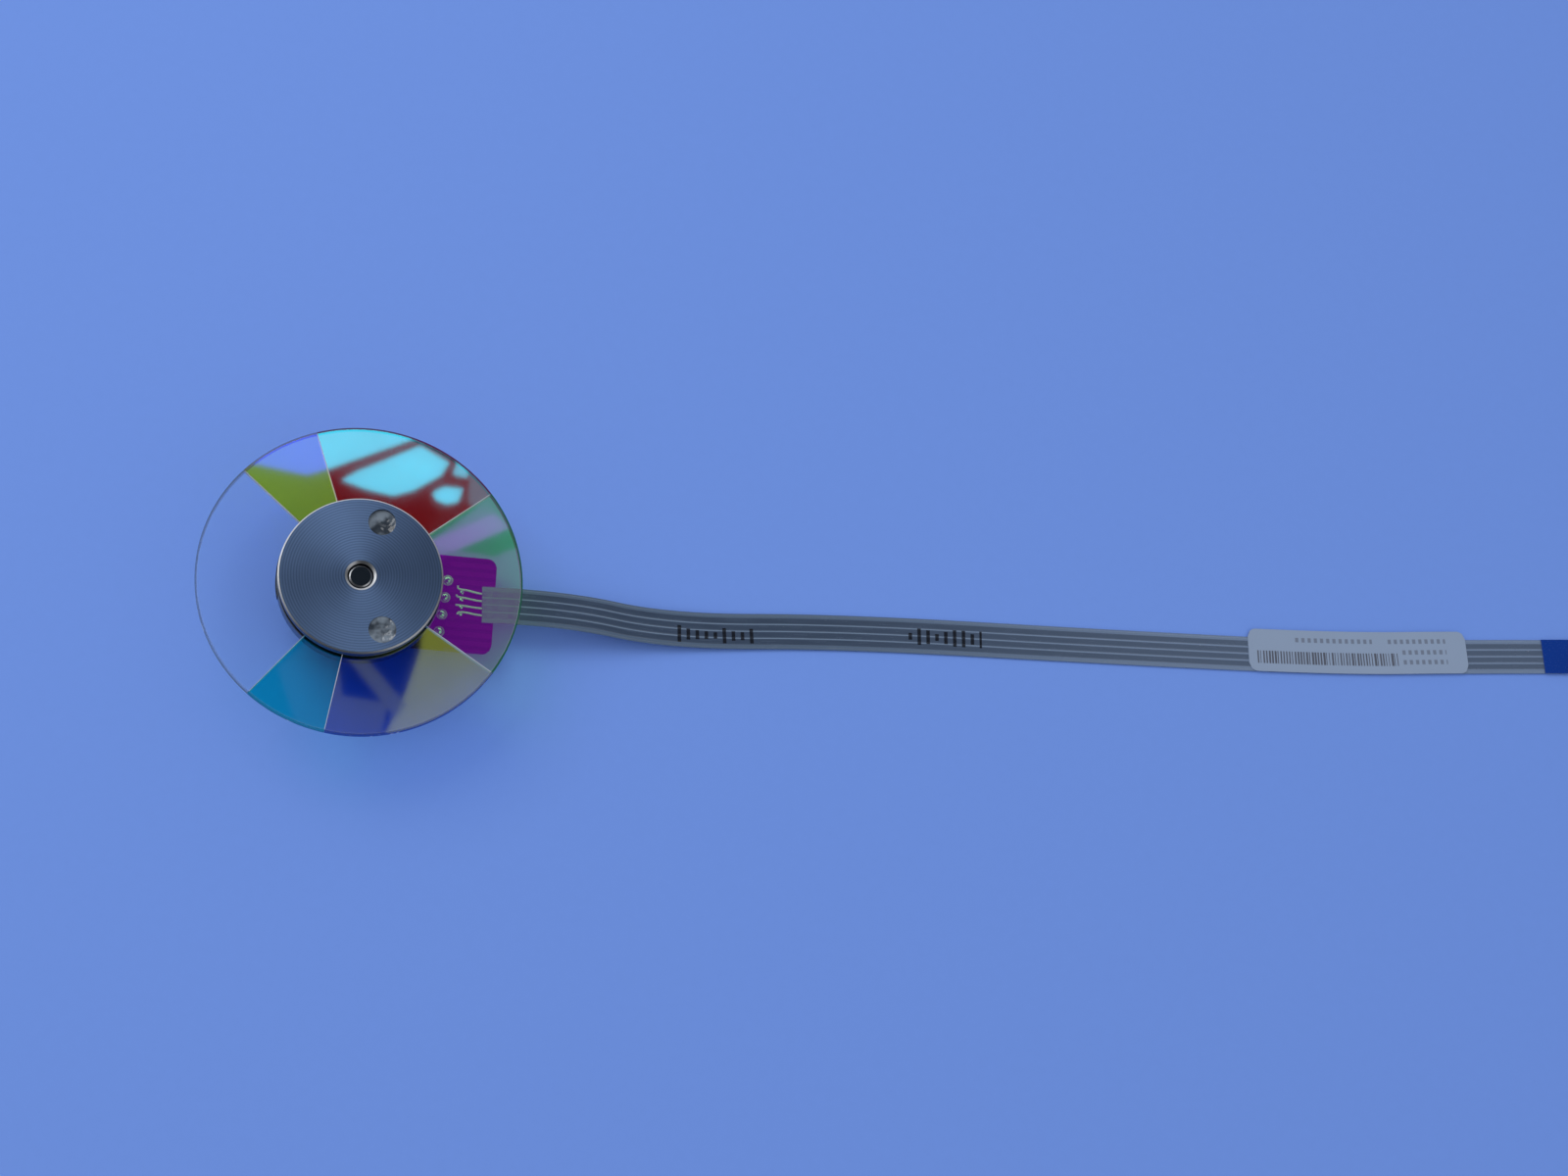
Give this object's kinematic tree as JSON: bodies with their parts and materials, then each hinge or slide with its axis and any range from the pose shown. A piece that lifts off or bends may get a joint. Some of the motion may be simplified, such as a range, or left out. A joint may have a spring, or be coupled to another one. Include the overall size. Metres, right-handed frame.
{
  "type": "projector color wheel",
  "caption": "Ring of coated glass filter segments clamped on the hub of a flat outer-rotor motor, with a turned balance cap, a tabbed circuit board and a flat cable.",
  "frame": {"origin": "on the spin axis at the rear face of the locating boss, which is also the height of the table that the cable lies on", "axes": "+Z along the spin axis, from the boss to the balance cap; +X from the axis to the board's tab and cable"},
  "size_m": [0.1951, 0.0424, 0.0117],
  "materials": {
    "turned_aluminium": "fine turned",
    "clear_glue": "clear cured",
    "clear_glass": "polished, coated",
    "yellow_glass": "polished, dichroic coated",
    "red_glass": "polished, dichroic coated",
    "green_glass": "polished, dichroic coated",
    "blue_glass": "polished, dichroic coated",
    "cyan_glass": "polished, dichroic coated",
    "black_adhesive": "cured adhesive",
    "turned_brass": "turned",
    "plated_steel": "nickel plated, drawn",
    "magnet": "bonded magnet",
    "black_tape": "matt tape",
    "ground_steel": "ground",
    "spring_steel": "oiled",
    "bearing_steel": "ground and honed",
    "shield_steel": "pressed",
    "ball_steel": "polished",
    "cage_polymer": "moulded",
    "cast_aluminium": "machined",
    "laminated_steel": "stamped laminations",
    "insulator_polymer": "moulded",
    "enamelled_copper": "enamelled wire",
    "solder": "reflowed",
    "circuit_board": "solder mask",
    "tinned_copper": "tinned",
    "clear_film": "polyester film",
    "cable_film": "laminated film",
    "label_paper": "printed label",
    "blue_film": "polyester film"
  },
  "bodies": {
    "stator": {"base_plate": "cast_aluminium", "bearing_sleeve": "turned_brass", "upper_bearing_outer_ring": "bearing_steel", "lower_bearing_outer_ring": "bearing_steel", "bearing_shields": "shield_steel", "preload_spring": "spring_steel", "stator_core": "laminated_steel", "insulator_upper": "insulator_polymer", "insulator_lower": "insulator_polymer", "stator_coils": "enamelled_copper", "coil_leads": "enamelled_copper", "motor_solder_joints": "solder", "circuit_board": "circuit_board", "cable_tails": "tinned_copper", "cable_solder_joints": "solder", "board_stiffener": "clear_film", "flat_cable": "cable_film", "cable_label": "label_paper", "end_stiffener": "blue_film", "contact_strips": "tinned_copper"},
    "rotor": {"balance_cap": "turned_aluminium", "balance_glue_upper": "clear_glue", "balance_glue_lower": "clear_glue", "filter_clear": "clear_glass", "filter_yellow": "yellow_glass", "filter_red": "red_glass", "filter_green": "green_glass", "filter_blue": "blue_glass", "filter_cyan": "cyan_glass", "upper_adhesive_ring": "black_adhesive", "lower_adhesive_ring": "black_adhesive", "rotor_hub": "turned_brass", "rotor_cup": "plated_steel", "ring_magnet": "magnet", "index_tape": "black_tape", "shaft": "ground_steel", "retaining_clip": "spring_steel", "upper_bearing_inner_ring": "bearing_steel", "lower_bearing_inner_ring": "bearing_steel"},
    "upper_ball_train": {"upper_bearing_balls": "ball_steel", "upper_bearing_cage": "cage_polymer"},
    "lower_ball_train": {"lower_bearing_balls": "ball_steel", "lower_bearing_cage": "cage_polymer"}
  },
  "joints": [
    {"name": "wheel_spin", "type": "hinge", "parent": "stator", "child": "rotor", "pos_m": [0, 0, 0.0048], "axis": [0, 0, 1], "continuous": true},
    {"name": "upper_ball_orbit", "type": "hinge", "parent": "stator", "child": "upper_ball_train", "pos_m": [0, 0, 0.007], "axis": [0, 0, 1], "continuous": true},
    {"name": "lower_ball_orbit", "type": "hinge", "parent": "stator", "child": "lower_ball_train", "pos_m": [0, 0, 0.0023], "axis": [0, 0, 1], "continuous": true}
  ],
  "couplings": [
    {"joint": "upper_ball_orbit", "follows": "wheel_spin", "ratio": 0.4111},
    {"joint": "lower_ball_orbit", "follows": "wheel_spin", "ratio": 0.4111}
  ]
}
